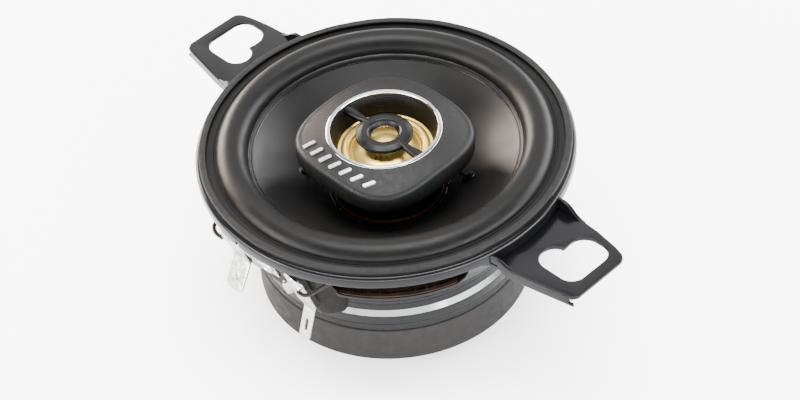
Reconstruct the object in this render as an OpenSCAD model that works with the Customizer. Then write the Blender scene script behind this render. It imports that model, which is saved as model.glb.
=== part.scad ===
// Coaxial car speaker: an 8.7 cm cone driver with a small dome tweeter held on a post through its motor.
// +Z is the way the speaker plays. The origin is the centre of the motor's back face.
// The two mounting ears lie along X and the terminals are on the -Y side.

/* [Motor] */
// Diameter of the ring magnet
magnet_d = 67.6; // [66:0.2:69]
// Thickness of the ring magnet
magnet_t = 9.9; // [9:0.1:11]
// Thickness of the yoke's back plate
yoke_t = 3; // [2.5:0.1:3.5]
// Thickness of the top plate
top_plate_t = 2.1; // [1.8:0.1:2.4]
// Diameter of the pole
pole_d = 26; // [25:0.1:26]

/* [Basket] */
// Diameter over the rim's turned-down lip
rim_d = 91; // [90:0.2:92]
// Height of the rim's upper face above the motor's back
rim_z = 42.8; // [42:0.1:44]
// Thickness of the basket's sheet steel
sheet = 0.9; // [0.8:0.1:1]
// Height of the turned-down lip
lip_h = 2.9; // [2.5:0.1:3.2]
// Height of the cup's upper edge, on which the spider sits
cup_z = 25.9; // [25.5:0.1:26.2]
// Angle that each ear's spoke covers
ear_spoke_deg = 30; // [26:1:34]
// Angle that each of the other two spokes covers
side_spoke_deg = 46; // [42:1:48]

/* [Ears] */
// Distance from the axis to the tip of an ear
ear_tip_x = 66; // [65:0.5:68]
// Height of an ear's upper face
ear_z = 39.5; // [39:0.1:40]
// Radius of the slot that the screw moves in
slot_r = 3.6; // [3.4:0.1:3.7]
// Distance from the axis to the inner end of the slot
slot_in_x = 54.1; // [54:0.1:54.5]
// Distance from the axis to the outer end of the slot
slot_out_x = 59.3; // [59:0.1:59.6]

/* [Cone] */
// Outer diameter of the voice coil's former
former_d = 27.2; // [27.1:0.1:27.3]
// Diameter of the cone at its edge
cone_d = 65.6; // [65:0.2:66]
// Height of the cone's edge
cone_edge_z = 41.7; // [41.5:0.1:41.9]
// Height at which the cone is glued to the former
cone_neck_z = 28.6; // [28.4:0.1:29]
// Height of the surround's roll above the line between its two feet
roll_h = 3.1; // [2.8:0.1:3.4]

/* [Tweeter] */
// Width of the tweeter's rounded square cover
cover_w = 38; // [37:0.2:38.6]
// Height of the crown of the cover
cover_z = 47.2; // [46.8:0.1:47.4]
// Outer diameter of the bright ring
trim_d = 27.9; // [27.4:0.1:28.2]
// Diameter of the tweeter's round body
body_d = 23.4; // [23:0.1:23.6]
// Diameter of the phase plug's ring
plug_d = 13.9; // [13:0.1:14.4]

/* [Terminals] */
// Distance of each tab from the centre of the board
tab_x = 11.3; // [10.8:0.1:11.6]
// Width of the positive tab
wide_tab_w = 5.6; // [5:0.1:6]
// Width of the negative tab
narrow_tab_w = 3.4; // [2.8:0.1:3.8]

/* [Hidden] */

steps = 96;                                // sides of a full circle, for display only
magnet_z = yoke_t;
plate_z = magnet_z + magnet_t;
seat_z = plate_z + top_plate_t;            // the basket's floor lies on the top plate
rim_r = rim_d / 2;
former_r = former_d / 2;
former_t = 0.2;
coil_t = 0.6;
coil_h = 6;
gap_clear = 0.4;                           // air each side of the moving coil
cup_r = 32.6;                              // the cup's waist, outside
foot_r = 33.5;                             // the cup's foot on the top plate
flare_r = 4;                               // the hollow curve between the waist and the foot
cup_lip_r = 35.2;
rim_hole_r = 41.6;
spider_r = 33.8;                           // the spider's glued edge, inside the spokes
step_r = rim_r - sheet;                    // inside of the lip
land_r = 44.5;                             // the surround's and the gasket's outer edge
land_t = 0.4;
gasket_t = 0.9;
roll_in_r = 32.9;
roll_out_r = 40.6;
roll_t = 0.5;
ear_edge_y = [13.9, -10.2];                // the ear's two edges where they meet the rim
ear_corner = [62.4, 12.3];
ear_point = [65.2, -6];
flange_h = 2.7;                            // depth of the ear's turned-down edge
lobe_x = 57.5;                             // centre of the hole's second lobe
lobe_y = 6.8;
lobe_r = 4.1;
slot_y = 0.6;
board_tilt = 17.7;                         // the board and its pad lean out towards the rim
board_foot = [0, -37.9, 25];               // middle of the board's lower outer edge
board_t = 1.2;
board_w = 29;
board_h = 13;
pad_w = 28.4;
pad_low = -7.9;                            // the pad's lower end, along the board's own height
tab_t = 0.5;
eyelet_r = 1.3;
narrow_eyelet = [11.9, 10.9];
wide_eyelet = [1.5, 8.6];
board_rivet_at = [[-5, 2.8], [5.6, 2.8]];
rivet_r = 1.6;
rivet_pcd = 52;
post_r = 4.2;
spigot_r = 3;
pole_top_z = seat_z + 0.6;
body_r = body_d / 2;
body_z = 30.5;
body_top_z = 41;
diaphragm_z = 41;
cup_floor_z = 34.6;
horn_r = [11.4, 12.75];                    // the horn's throat and mouth
horn_z = [41.3, cover_z];
cover_skirt_z = 39.8;
cover_wall = 1.5;
cover_crown_r = 56;
cover_power = 3.1;                         // how square the cover's outline is
crown_centre_z = cover_z - sqrt(cover_crown_r ^ 2 - (trim_d / 2) ^ 2);
plug_z = [44.9, 46.6];
ornament_count = 7;
ornament_pitch = 3.4;
tinsel_r = 0.55;
tweeter_lead_deg = 38;                     // the line on which the tweeter's leads run out to the cone

// Points of an arc about c from angle a to angle b
function arc(c, r, a, b, n = 8) = [for (i = [0:n]) let (t = a + (b - a) * i / n) c + r * [cos(t), sin(t)]];

// Points on the circular arc from a to b that stands rise above their chord, moved in by inset
function bow(a, b, rise, inset = 0, n = 20) = let (
        chord = norm(b - a),
        r = (chord ^ 2 / 4 + rise ^ 2) / (2 * rise),
        up = [a[1] - b[1], b[0] - a[0]] / chord,
        centre = (a + b) / 2 + up * (rise - r),
        half = asin(chord / 2 / r))
    arc(centre, r - inset, atan2(up[1], up[0]) + half, atan2(up[1], up[0]) - half, n);

function reverse(list) = [for (i = [len(list) - 1:-1:0]) list[i]];

// Height of the cone's upper face: a straight flare with a little fullness in the middle
function cone_height(r) = let (t = (r - former_r) / (cone_d / 2 - former_r))
    cone_neck_z + (cone_edge_z - cone_neck_z) * (t + 0.12 * t * (t - 1));

// Height of the spider's corrugations over its flat middle plane
function spider_wave(r) = 0.55 * sin(360 * (r - former_r) / 3.2);

// One corner of the rounded square outline at angle a
function square_point(w, a) = let (c = abs(cos(a)), s = abs(sin(a)))
    w / 2 / (c ^ cover_power + s ^ cover_power) ^ (1 / cover_power) * [cos(a), sin(a)];

module turn(points) rotate_extrude($fn = steps) polygon(points);

module tube(r_out, r_in, h) difference() {
    cylinder(r = r_out, h = h, $fn = steps);
    translate([0, 0, -1]) cylinder(r = r_in, h = h + 2, $fn = steps);
}

// A round bar through a list of points, as one swept solid with eight sides
module lead(points, r, sides = 8) {
    n = len(points);
    dirs = [for (i = [0:n - 1]) let (d = points[min(i + 1, n - 1)] - points[max(i - 1, 0)]) d / norm(d)];
    sides_of = [for (d = dirs) let (u = cross(d, [0, 0, 1]), v = norm(u) < 0.01 ? [1, 0, 0] : u / norm(u))
        [v, cross(d, v)]];
    ring = [for (i = [0:n - 1]) for (k = [0:sides - 1]) let (a = 360 * k / sides)
        points[i] + r * (cos(a) * sides_of[i][0] + sin(a) * sides_of[i][1])];
    walls = [for (i = [0:n - 2]) for (k = [0:sides - 1])
        let (a = i * sides + k, b = i * sides + (k + 1) % sides)
        [a, b, b + sides, a + sides]];
    ends = [[for (k = [sides - 1:-1:0]) k], [for (k = [0:sides - 1]) (n - 1) * sides + k]];
    polyhedron(ring, concat(walls, ends), convexity = 4);
}

// ---- Motor ----

module t_yoke() color("#4a4c4e") {
    r = magnet_d / 2 - 3;
    pole_r = pole_d / 2;
    turn(concat([[spigot_r + 0.05, 0], [r - 0.6, 0], [r, 0.6], [r, yoke_t]],
        [[pole_r, yoke_t], [pole_r, pole_top_z - 0.5], [pole_r - 0.5, pole_top_z]],
        [[spigot_r + 0.05, pole_top_z]]));
}

module magnet() color("#5c5b5a") {
    r = magnet_d / 2;
    r_in = former_r + 3.4;
    c = 0.4;
    turn([[r_in, magnet_z], [r - c, magnet_z], [r, magnet_z + c], [r, plate_z - c], [r - c, plate_z],
        [r_in, plate_z]]);
}

module top_plate() color("#303331") difference() {
    r = magnet_d / 2 - 0.3;
    r_in = former_r + coil_t + gap_clear;
    turn([[r_in, plate_z], [r, plate_z], [r, seat_z - 0.3], [r - 0.3, seat_z], [r_in, seat_z]]);
    rivet_places() translate([0, 0, plate_z - 1]) cylinder(r = rivet_r + 0.05, h = 9, $fn = 48);
}

module rivet_places() for (a = [45:90:315]) rotate(a) translate([rivet_pcd / 2, 0, 0]) children();

module plate_rivets() color("#8d8f90") rivet_places() {
    translate([0, 0, plate_z + 0.1]) cylinder(r = rivet_r, h = top_plate_t + sheet - 0.1, $fn = 48);
    translate([0, 0, seat_z + sheet]) cylinder(r1 = rivet_r + 0.9, r2 = rivet_r + 0.4, h = 0.8, $fn = 48);
}

// ---- Basket ----

module basket_cup() {
    flare = [cup_r + flare_r, seat_z + 5.4];
    turn(concat([[18, seat_z], [foot_r - 0.2, seat_z], [foot_r, seat_z + 0.2], [foot_r, seat_z + 2.3],
        [foot_r - 0.15, seat_z + 2.65]], arc(flare, flare_r, 218, 180, 5), [[34.3, cup_z - sheet - 1]],
        arc([cup_lip_r - 0.4, cup_z - 0.45], 0.45, -90, 90, 6), [[33.5, cup_z]],
        [[cup_r - sheet, flare[1]]], arc([cup_r - sheet - 2.3, seat_z + sheet + 2.3], 2.3, 0, -90),
        [[18, seat_z + sheet]]));
}

module spoke_cone() turn([[34, cup_z - 1], [35, cup_z - 1], [43.2, rim_z - sheet / 2],
    [42.1, rim_z - sheet / 2], [34, cup_z - 0.1]]);

// A wedge of angle deg about direction mid, from the cup's edge up to the rim's underside
module window(mid, deg) rotate(mid - deg / 2) translate([0, 0, cup_z])
    linear_extrude(rim_z - sheet - cup_z)
    polygon([[0, 0], [60, 0], 60 * [cos(deg / 2), sin(deg / 2)] * 1.1, 60 * [cos(deg), sin(deg)]]);

module spokes() difference() {
    spoke_cone();
    // flat under the terminal pad
    on_board() translate([0.4 - pad_w / 2, board_t + 0.01 - 20, pad_low]) cube([pad_w - 0.8, 20, 25]);
    gap = 90 - ear_spoke_deg / 2 - side_spoke_deg / 2;
    first = ear_spoke_deg / 2 + gap / 2;
    for (mid = [first, 180 - first, 180 + first, 360 - first]) window(mid, gap);
}

module rim() turn(concat([[rim_hole_r, rim_z - sheet], [step_r, rim_z - sheet], [step_r, rim_z - lip_h],
    [rim_r, rim_z - lip_h]], arc([rim_r - 0.9, rim_z - 0.9], 0.9, 0, 90, 5), [[rim_hole_r, rim_z]]));

// Places things on the board: its outer face is the XZ plane and its lower edge is at z = 0
module on_board() translate(board_foot) rotate([board_tilt, 0, 0]) children();

module through_board(p, r, back = 4) translate([p[0], back, p[1]]) rotate([90, 0, 0])
    cylinder(r = r, h = back + 4, $fn = 48);

// The flat pad that carries the terminal board, closed to the cup and the spoke by its cheeks
module terminal_pad() difference() {
    on_board() translate([-pad_w / 2, board_t, pad_low]) cube([pad_w, 9, 25]);
    on_board() translate([sheet - pad_w / 2, board_t + sheet, pad_low + sheet])
        cube([pad_w - 2 * sheet, 12, 30]);
    turn([[0, 10], [cup_r - 0.4, 10], [cup_r - 0.4, seat_z + 5.4], [34.4, cup_z - 1],
        [42.5, rim_z - sheet], [42.5, rim_z + 5], [0, rim_z + 5]]);
    translate([-40, -60, rim_z - sheet / 2]) cube([80, 60, 20]);
}

module ear_outline() {
    polygon(concat([[41, ear_edge_y[0]], [50, ear_edge_y[0] - 0.1], ear_corner],
        arc([ear_tip_x - 3.9, 8.2], 3.9, 72, 0, 6), [[ear_tip_x, -4.6], ear_point, [44, ear_edge_y[1]],
        [41, ear_edge_y[1]]]));
}

// The screw slot, its second lobe and the opening that joins them
module ear_hole() translate([0, 0, ear_z - 5]) {
    for (x = [slot_in_x, slot_out_x]) translate([x, slot_y, 0]) cylinder(r = slot_r, h = 10, $fn = 64);
    translate([lobe_x, lobe_y, 0]) cylinder(r = lobe_r, h = 10, $fn = 64);
    translate([slot_out_x + slot_r - 3.4, lobe_y + lobe_r - 3.4, 0]) cylinder(r = 3.4, h = 10, $fn = 64);
    linear_extrude(10) polygon([[slot_in_x, slot_y - slot_r], [slot_out_x, slot_y - slot_r],
        [slot_out_x + slot_r, slot_y], [slot_out_x + slot_r, lobe_y + lobe_r - 3.4],
        [slot_out_x + slot_r - 3.4, lobe_y + lobe_r], [lobe_x, lobe_y + lobe_r], [lobe_x - 4, 5.6],
        [slot_in_x - 1, slot_y + 3.2]]);
}

// The ear's turned-down edge, which runs on from the rim's lip
module ear_flange() {
    start = [42, ear_edge_y[1] - 0.4];
    run = ear_point - start;
    length = norm(run);
    low = ear_z - flange_h;
    translate([start[0], start[1], 0]) rotate([90, 0, atan2(run[1], run[0])]) translate([0, 0, -sheet])
        linear_extrude(sheet) polygon([[0, rim_z - 1.3], [4.4, rim_z - 1.4], [9, ear_z],
            [length - 0.8, ear_z], [length - 0.8, low], [8, low], [4.5, rim_z - lip_h + 0.25], [0, rim_z - lip_h + 0.25]]);
}

// The upright web that ties the ear's other edge to the rim
module ear_web() translate([0, ear_edge_y[0], 0]) rotate([90, 0, 0])
    linear_extrude(sheet) polygon([[42, ear_z - sheet], [42, rim_z - 0.3], [45.5, rim_z - 0.5],
        [48, rim_z - 1.3], [50.4, ear_z], [50.4, ear_z - sheet]]);

// The wall that steps down from the rim to the ear
module ear_step() intersection() {
    translate([0, 0, ear_z - sheet]) tube(rim_r - 0.12, step_r - 0.12, rim_z - ear_z + sheet / 2);
    translate([40, ear_edge_y[1] + 0.3, 0]) cube([10, ear_edge_y[0] - ear_edge_y[1] - 0.6, 60]);
}

module ear() {
    difference() {
        translate([0, 0, ear_z - sheet]) linear_extrude(sheet) ear_outline();
        translate([0, 0, ear_z - 5]) cylinder(r = step_r + 0.25, h = 10, $fn = steps);
        ear_hole();
    }
    ear_step();
    difference() {
        union() {
            ear_flange();
            ear_web();
        }
        translate([0, 0, ear_z - 6]) cylinder(r = step_r + 0.4, h = 12, $fn = steps);
    }
}

module basket() color("#1d1d1f") difference() {
    union() {
        basket_cup();
        spokes();
        rim();
        terminal_pad();
        for (s = [0, 1]) mirror([s, 0, 0]) ear();
    }
    rivet_places() translate([0, 0, seat_z - 1]) cylinder(r = rivet_r + 0.05, h = 4, $fn = 48);
    on_board() for (p = board_rivet_at) through_board(p, 1.05, board_t + sheet + 0.15);
    // a small notch in the lip
    rotate(-93.5) translate([step_r - 0.3, -0.6, rim_z - lip_h - 1]) cube([3, 1.2, lip_h + 0.7]);
}

module gasket_ring() color("#59585a") translate([0, 0, rim_z + land_t])
    turn([[land_r - 1.7, 0], [land_r, 0], [land_r, gasket_t - 0.15], [land_r - 0.15, gasket_t],
        [land_r - 1.6, gasket_t], [land_r - 1.7, gasket_t - 0.1]]);

// ---- Moving system ----

// The half roll: its inner land is glued on the cone's edge and its outer one on the rim
module surround() color("#232224") {
    inner_foot = [roll_in_r, cone_edge_z + land_t];
    outer_foot = [roll_out_r, rim_z + land_t];
    edge = [for (r = [cone_d / 2 - 0.9, cone_d / 2]) [r, cone_height(r) + 0.02]];
    turn(concat([edge[0] + [0, land_t - 0.1]], bow(inner_foot, outer_foot, roll_h), [[land_r, outer_foot[1]],
        [land_r, rim_z], [roll_out_r - 0.3, rim_z]], reverse(bow(inner_foot, outer_foot, roll_h, roll_t)),
        [edge[1], edge[0]]));
}

module cone() color("#3b3938") {
    t = 0.5;
    n = 12;
    r_in = former_r + 0.02;
    rs = [for (i = [0:n]) r_in + (cone_d / 2 - r_in) * i / n];
    turn(concat([for (r = rs) [r, cone_height(r)]], [for (i = [n:-1:0]) [rs[i], cone_height(rs[i]) - t]]));
}

module spider() color("#8a4a1e") {
    t = 0.35;
    n = 64;
    r0 = former_r + 0.02;
    r1 = 31.6;
    z = cup_z + t;
    rs = [for (i = [0:n]) r0 + (r1 - r0) * i / n];
    turn(concat([[r0, z + 0.9]], [for (r = rs) if (r > r0 + 0.4) [r, z + spider_wave(r)]],
        [[32.4, z], [spider_r, z], [spider_r, z - t], [32.2, z - t]],
        [for (i = [n:-1:0]) if (rs[i] > r0 + 0.4) [rs[i], z - t + spider_wave(rs[i])]], [[r0, z - t - 0.5]]));
}

module voice_coil_former() color("#b5651d") translate([0, 0, plate_z - 2.3])
    tube(former_r, former_r - former_t, cone_neck_z + 1.1 - (plate_z - 2.3));

module voice_coil_winding() color("#b87333") translate([0, 0, plate_z + top_plate_t / 2 - coil_h / 2])
    tube(former_r + coil_t, former_r, coil_h);

// ---- Terminals ----

module terminal_board() color("#2c2926") on_board() difference() {
    translate([-board_w / 2, 0, 0]) cube([board_w, board_t, board_h]);
    for (p = [narrow_eyelet, wide_eyelet]) through_board(p, eyelet_r + 0.03);
    for (p = board_rivet_at) through_board(p, 1.05);
}

module board_rivets() color("#7c7e80") on_board() for (p = board_rivet_at)
    translate([p[0], board_t + sheet, p[1]]) rotate([90, 0, 0]) {
        cylinder(r = 1, h = board_t + sheet, $fn = 32);
        translate([0, 0, board_t + sheet]) cylinder(r1 = 1.7, r2 = 1.2, h = 0.6, $fn = 32);
    }

// A tab that runs down the board's face to the bend, then down and outward
module tab(x, w, top, bend, reach, drop) {
    length = norm([reach, drop]);
    inset = tab_t * [drop, reach] / length;
    inner_bend = bend - inset[1] + (tab_t - inset[0]) * drop / reach;
    translate([x - w / 2, 0, 0]) rotate([90, 0, 90]) mirror([1, 0, 0]) linear_extrude(w)
        polygon([[0, top], [tab_t, top], [tab_t, bend], [tab_t + reach, bend - drop],
            [tab_t + reach - inset[0], bend - drop - inset[1]], [0, inner_bend]]);
}

// A point on the blade, a share of the way from the bend to the tip, with Y square to the blade
module on_blade(x, bend, reach, drop, share) translate([x, -tab_t - reach * share, bend - drop * share])
    rotate([-atan2(reach, drop), 0, 0]) children();

module positive_terminal() color("#d9dadb") on_board() difference() {
    union() {
        tab(-tab_x, wide_tab_w, 8, 0.1, 6, 5.8);
        translate([-tab_x - wide_tab_w / 2, -tab_t, 5.8]) cube([tab_x + wide_tab_w / 2 + 4.6, tab_t, 5.8]);
    }
    through_board(wide_eyelet, eyelet_r + 0.03);
    on_blade(-tab_x, 0.1, 6, 5.8, 0.5) rotate([90, 0, 0]) cylinder(r = 0.75, h = 5, center = true, $fn = 32);
}

module negative_terminal() color("#d9dadb") on_board() difference() {
    union() {
        tab(tab_x, narrow_tab_w, 8, -2, 5.2, 6.9);
        translate([tab_x - 3, -tab_t, -1]) cube([6, tab_t, 13.4]);
    }
    through_board(narrow_eyelet, eyelet_r + 0.03);
    on_blade(tab_x, -2, 5.2, 6.9, 0.55) {
        for (z = [-1.6, 1.6]) translate([0, 2.5, z]) rotate([90, 0, 0]) cylinder(r = 0.5, h = 5, $fn = 32);
        translate([-0.5, -2.5, -1.6]) cube([1, 5, 3.2]);
    }
}

module terminal_eyelets() color("#e3e4e5") on_board() for (p = [narrow_eyelet, wide_eyelet])
    translate([p[0], board_t, p[1]]) rotate([90, 0, 0]) {
        cylinder(r = eyelet_r, h = board_t + tab_t, $fn = 48);
        translate([0, 0, board_t + tab_t]) cylinder(r1 = 2.1, r2 = 1.5, h = 0.7, $fn = 48);
    }

// Each braided lead leaves the board's upper corner, enters by the window beside the pad and hangs in a
// loop to the underside of the cone
function tinsel_route(s) = [
    [s * 13, -41.9, 33.2], [s * 15.2, -42, 33.6], [s * 16.6, -41.2, 34.2], [s * 17.3, -39.3, 34.6],
    [s * 17.4, -36.9, 34.3], [s * 17.1, -34, 33.2], [s * 16.7, -31, 31.7], [s * 16.4, -27.5, 30.3],
    [s * 16.1, -24, 29.5], [s * 15.9, -20.5, 29.4], [s * 15.7, -17, 30.2], [s * 15.6, -14.6, 31.2],
    [s * 15.6, -13.4, 31.85]];

module tinsel_lead_positive() color("#9a8f80") lead(tinsel_route(-1), tinsel_r);

module tinsel_lead_negative() color("#9a8f80") lead(tinsel_route(1), tinsel_r);

// ---- Tweeter ----

module tweeter_post() color("#7f8183") difference() {
    union() {
        translate([0, 0, 0.8]) cylinder(r = spigot_r, h = pole_top_z - 0.8, $fn = 64);
        translate([0, 0, pole_top_z]) cylinder(r = post_r, h = body_z - pole_top_z, $fn = 64);
    }
    translate([0, 0, 22]) cylinder(r = 2.03, h = 20, $fn = 48);
}

module tweeter_screw() color("#a5a7a9") difference() {
    union() {
        translate([0, 0, 24]) cylinder(r = 2, h = 8, $fn = 48);
        translate([0, 0, body_z + 1.4]) cylinder(r1 = 3.6, r2 = 3.1, h = 1.7, $fn = 48);
    }
    for (a = [0, 90]) rotate(a) translate([-1.9, -0.35, body_z + 2.1]) cube([3.8, 0.7, 2]);
}

module tweeter_base() color("#1b1b1c") {
    r = body_r;
    turn([[2.15, body_z], [r - 0.8, body_z], [r, body_z + 0.8], [r, body_top_z], [r - 0.9, body_top_z],
        [r - 0.9, cup_floor_z], [r - 2.1, cup_floor_z], [r - 2.1, cup_floor_z - 0.8],
        [r - 0.9, cup_floor_z - 2],
        [r - 0.9, body_z + 1.4], [2.15, body_z + 1.4]]);
}

module tweeter_cup() color("#8a8c8e") translate([0, 0, cup_floor_z])
    turn([[0, 0], [body_r - 1.1, 0], [body_r - 1.1, 5.4], [9, 5.4], [9, 1.2], [0, 1.2]]);

module tweeter_magnet() color("#b9bbbd") translate([0, 0, cup_floor_z + 1.2])
    cylinder(r = 7.2, h = 2.8, $fn = 64);

module tweeter_pole_plate() color("#8a8c8e") translate([0, 0, cup_floor_z + 4])
    cylinder(r = 7.6, h = 1.4, $fn = 64);

module tweeter_voice_coil() color("#c07a35") translate([0, 0, diaphragm_z - 2.8]) tube(8.5, 8.05, 2.5);

// A spherical cap with the coil glued to its rim
module tweeter_dome() color("#e2c478") {
    base_r = 8.55;
    rise = 2.5;
    t = 0.25;
    R = (base_r ^ 2 + rise ^ 2) / 2 / rise;
    a = asin(base_r / R);
    centre = [0, diaphragm_z + rise - R];
    turn(concat([[0, diaphragm_z + rise]],
        [for (i = [1:10]) let (b = 90 - a * i / 10) centre + R * [cos(b), sin(b)]],
        [for (i = [10:-1:1]) let (b = 90 - a * i / 10) centre + (R - t) * [cos(b), sin(b)]],
        [[0, diaphragm_z + rise - t]]));
}

// The film's rolled edge and its flat outer land
module tweeter_edge() color("#d8b765") translate([0, 0, diaphragm_z]) {
    t = 0.22;
    mid = 9.75;
    half = 1.05;
    roll = [for (i = [0:10]) let (a = 180 - 18 * i) [mid + half * cos(a), t + 0.8 * sin(a)]];
    under = [for (i = [10:-1:0]) let (a = 180 - 18 * i) [mid + (half - t) * cos(a), 0.8 * sin(a)]];
    turn(concat(roll, [[body_r - 0.15, t], [body_r - 0.15, 0]], under, [[mid - half, 0]]));
}

module diaphragm_ring() color("#2a2a2c") translate([0, 0, cup_floor_z + 5.4])
    tube(body_r - 1, body_r - 1.8, diaphragm_z - cup_floor_z - 5.4);

module crossover_capacitor() color("#b58a2e") translate([4.4, -3.1, body_z + 1.4]) cube([4.4, 6.2, 1.9]);

// Short leads from the foot of the tweeter's body out to the cone
module tweeter_lead(s) rotate(tweeter_lead_deg)
    lead([[s * 11.75, 0, 33], [s * 12.6, 0, 33.9], [s * 14, 0, 34.5],
    [s * 15.6, 0, 34.5], [s * 17.2, 0, 33.7], [s * 18.8, 0, 32.6]], 0.3);

module tweeter_lead_positive() color("#3a3532") tweeter_lead(-1);

module tweeter_lead_negative() color("#3a3532") tweeter_lead(1);

module cover_outline(w) polygon([for (a = [0:5:355]) square_point(w, a)]);

module crown(r) translate([0, 0, crown_centre_z]) sphere(r = r, $fn = steps);

module horn_hollow() {
    translate([0, 0, horn_z[0]])
        cylinder(r1 = horn_r[0], r2 = horn_r[1], h = horn_z[1] - horn_z[0], $fn = steps);
    translate([0, 0, horn_z[1] - 0.01]) cylinder(r = horn_r[1], h = 3, $fn = steps);
}

module tweeter_cover() color("#29292b") difference() {
    union() {
        difference() {
            intersection() {
                translate([0, 0, cover_skirt_z]) linear_extrude(12) cover_outline(cover_w);
                crown(cover_crown_r);
            }
            intersection() {
                translate([0, 0, cover_skirt_z - 1])
                    linear_extrude(12) cover_outline(cover_w - 2 * cover_wall);
                crown(cover_crown_r - cover_wall);
            }
        }
        translate([0, 0, horn_z[0]]) cylinder(r = body_r + 0.3, h = 2, $fn = steps);
        translate([0, 0, horn_z[0] + 2]) cylinder(r = horn_r[1] + 1, h = 3, $fn = steps);
        translate([0, 0, cover_skirt_z]) tube(body_r + 1.3, body_r + 0.03, 2.5);
    }
    horn_hollow();
    translate([0, 0, horn_z[0] - 0.02]) cylinder(r = horn_r[0], h = 0.1, $fn = steps);
    translate([0, 0, cover_z - 0.5]) cylinder(r = trim_d / 2 + 0.02, h = 3, $fn = steps);
}

module trim_ring() color("#e8e9ea") translate([0, 0, cover_z - 0.5])
    turn([[horn_r[1], 0], [trim_d / 2, 0], [trim_d / 2, 0.45], [trim_d / 2 - 0.35, 0.8],
        [horn_r[1] + 0.3, 0.8],
        [horn_r[1], 0.6]]);

// A ring over the dome on two arms that widen towards the horn's wall
module phase_plug() color("#242426") {
    r = plug_d / 2;
    turn([[3, plug_z[0]], [r - 0.9, plug_z[0]], [r, plug_z[0] + 0.7], [r - 0.25, plug_z[1] - 0.45],
        [r - 1.1, plug_z[1] - 0.05], [4.3, plug_z[1]], [3.85, plug_z[1] - 0.15], [3, plug_z[0] + 0.8]]);
    intersection() {
        translate([0, 0, plug_z[0] + 0.3]) linear_extrude(1.8) for (s = [-1, 1])
            polygon([[s * 4, -0.45], [s * 14, -1.45], [s * 14, 1.45], [s * 4, 0.45]]);
        horn_hollow();
    }
}

// A row of slanted raised dashes that follows the cover's crown
module cover_ornament() color("#d0d2d4") intersection() {
    for (i = [0:ornament_count - 1]) {
        x = (i - (ornament_count - 1) / 2) * ornament_pitch;
        translate([x, -16.2 + 0.012 * x ^ 2, cover_z - 6]) linear_extrude(9)
            polygon([[-1.3, -1], [0.3, -1], [1.3, 1], [-0.3, 1]]);
    }
    difference() {
        crown(cover_crown_r + 0.45);
        crown(cover_crown_r);
    }
}

basket();
gasket_ring();
surround();
cone();
spider();
voice_coil_former();
voice_coil_winding();
top_plate();
magnet();
t_yoke();
plate_rivets();
terminal_board();
board_rivets();
positive_terminal();
negative_terminal();
terminal_eyelets();
tinsel_lead_positive();
tinsel_lead_negative();
tweeter_post();
tweeter_screw();
tweeter_base();
tweeter_cup();
tweeter_magnet();
tweeter_pole_plate();
tweeter_voice_coil();
tweeter_dome();
tweeter_edge();
diaphragm_ring();
crossover_capacitor();
tweeter_lead_positive();
tweeter_lead_negative();
tweeter_cover();
phase_plug();
trim_ring();
cover_ornament();
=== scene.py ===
"""Coaxial car speaker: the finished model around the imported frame. Lengths are in millimetres in the code and
turned to metres when a mesh is made; every mesh is built in the row frame."""

import math

import bmesh
import bpy
import numpy as np
from mathutils import Matrix, Vector, noise


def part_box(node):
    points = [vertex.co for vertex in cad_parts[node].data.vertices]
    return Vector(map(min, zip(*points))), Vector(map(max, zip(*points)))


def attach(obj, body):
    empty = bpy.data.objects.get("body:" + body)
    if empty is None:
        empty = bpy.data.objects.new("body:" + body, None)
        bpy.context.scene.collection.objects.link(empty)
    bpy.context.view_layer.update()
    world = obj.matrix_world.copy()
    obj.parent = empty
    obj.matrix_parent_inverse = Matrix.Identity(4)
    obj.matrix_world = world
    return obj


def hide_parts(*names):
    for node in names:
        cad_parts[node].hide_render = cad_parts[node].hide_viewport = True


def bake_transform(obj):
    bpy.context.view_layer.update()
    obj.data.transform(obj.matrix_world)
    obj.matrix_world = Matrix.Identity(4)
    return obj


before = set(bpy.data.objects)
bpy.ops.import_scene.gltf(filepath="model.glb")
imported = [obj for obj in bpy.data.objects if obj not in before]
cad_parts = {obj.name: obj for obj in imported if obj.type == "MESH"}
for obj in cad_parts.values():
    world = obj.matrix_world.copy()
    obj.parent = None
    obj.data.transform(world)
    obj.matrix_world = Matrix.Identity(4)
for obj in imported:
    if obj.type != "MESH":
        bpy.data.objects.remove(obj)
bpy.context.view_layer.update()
MM = 0.001
FRAME, CONE, DOME = "frame", "moving_cone", "moving_dome"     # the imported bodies


def box_mm(node):
    low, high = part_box(node)
    return [v / MM for v in low], [v / MM for v in high]


# ---- shader helpers


MAT = {}


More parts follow.
